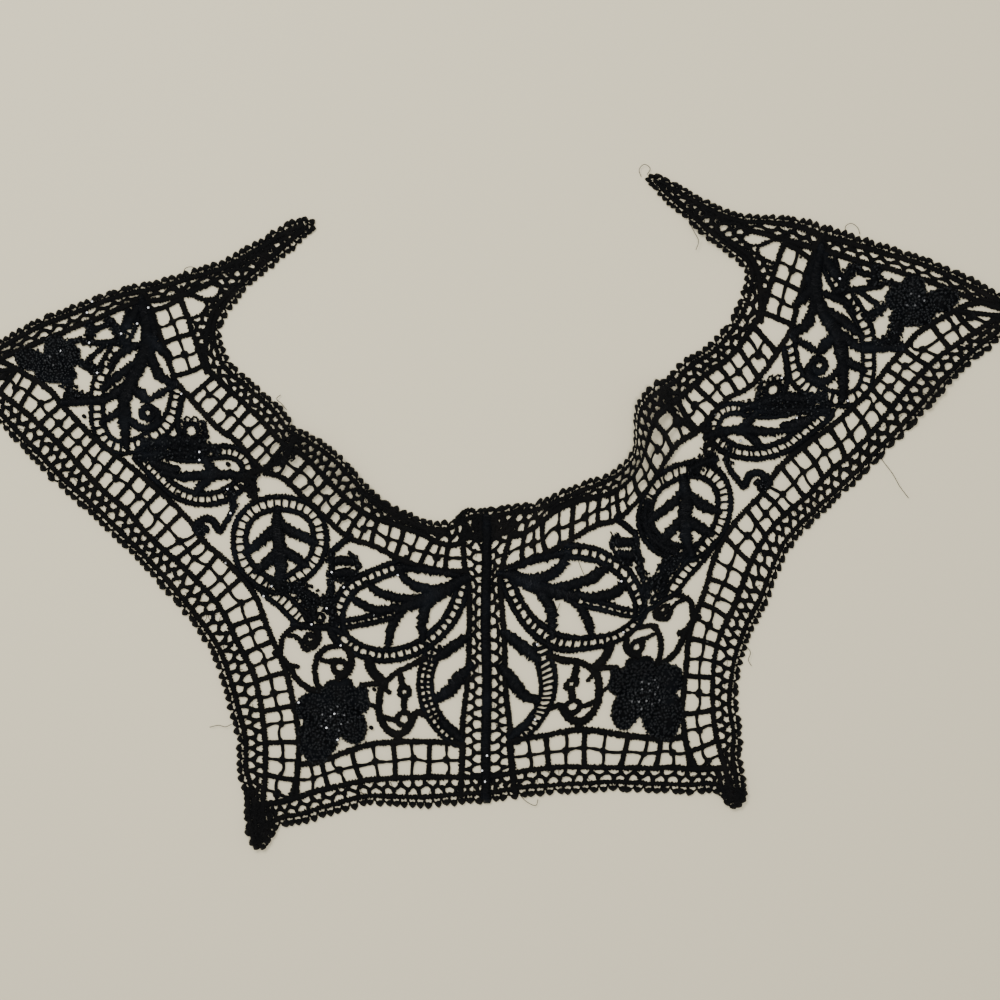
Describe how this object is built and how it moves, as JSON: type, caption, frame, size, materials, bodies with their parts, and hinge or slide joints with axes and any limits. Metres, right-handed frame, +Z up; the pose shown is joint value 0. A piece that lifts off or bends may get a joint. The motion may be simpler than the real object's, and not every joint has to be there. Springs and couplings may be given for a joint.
{
  "type": "beaded lace collar",
  "caption": "Black corded lace collar with seed beads, laid out flat: pointed wings, narrow neck straps, leaf and flower motifs, square net bands and picot edges.",
  "frame": {"origin": "middle of the footprint, on the surface the collar lies on", "axes": "+X to the wearer's left-hand wing, +Y towards the back of the neck, +Z up out of the lace"},
  "size_m": [0.4375, 0.2703, 0.0097],
  "materials": {
    "corded_thread": "matt black cotton cord",
    "satin_thread": "black satin stitch, slight sheen",
    "beadwork": "black thread covered with glossy black seed beads"
  },
  "bodies": {
    "root": {"placket_ridge": "satin_thread", "placket_ladder_left": "corded_thread", "outer_edging_left": "corded_thread", "hem_edging_left": "corded_thread", "neck_edging_left": "corded_thread", "shoulder_edging_left": "corded_thread", "outer_mesh_band_left": "corded_thread", "hem_mesh_band_left": "corded_thread", "neck_mesh_band_left": "corded_thread", "strap_mesh_band_left": "corded_thread", "strap_web_left": "corded_thread", "palmette_left": "satin_thread", "crescent_left": "satin_thread", "round_leaf_left": "satin_thread", "oval_leaf_left": "satin_thread", "wing_leaf_left": "satin_thread", "front_flower_left": "beadwork", "wing_flower_left": "beadwork", "flower_scrolls_left": "corded_thread", "hem_scroll_left": "corded_thread", "ruched_curl_left": "beadwork", "ring_curl_left": "beadwork", "small_curl_left": "beadwork", "wing_lobe_left": "satin_thread", "wing_sprigs_left": "beadwork", "placket_ladder_right": "corded_thread", "outer_edging_right": "corded_thread", "hem_edging_right": "corded_thread", "neck_edging_right": "corded_thread", "shoulder_edging_right": "corded_thread", "outer_mesh_band_right": "corded_thread", "hem_mesh_band_right": "corded_thread", "neck_mesh_band_right": "corded_thread", "strap_mesh_band_right": "corded_thread", "strap_web_right": "corded_thread", "palmette_right": "satin_thread", "crescent_right": "satin_thread", "round_leaf_right": "satin_thread", "oval_leaf_right": "satin_thread", "wing_leaf_right": "satin_thread", "front_flower_right": "beadwork", "wing_flower_right": "beadwork", "flower_scrolls_right": "corded_thread", "hem_scroll_right": "corded_thread", "ruched_curl_right": "beadwork", "ring_curl_right": "beadwork", "small_curl_right": "beadwork", "wing_lobe_right": "satin_thread", "wing_sprigs_right": "beadwork"}
  },
  "joints": []
}
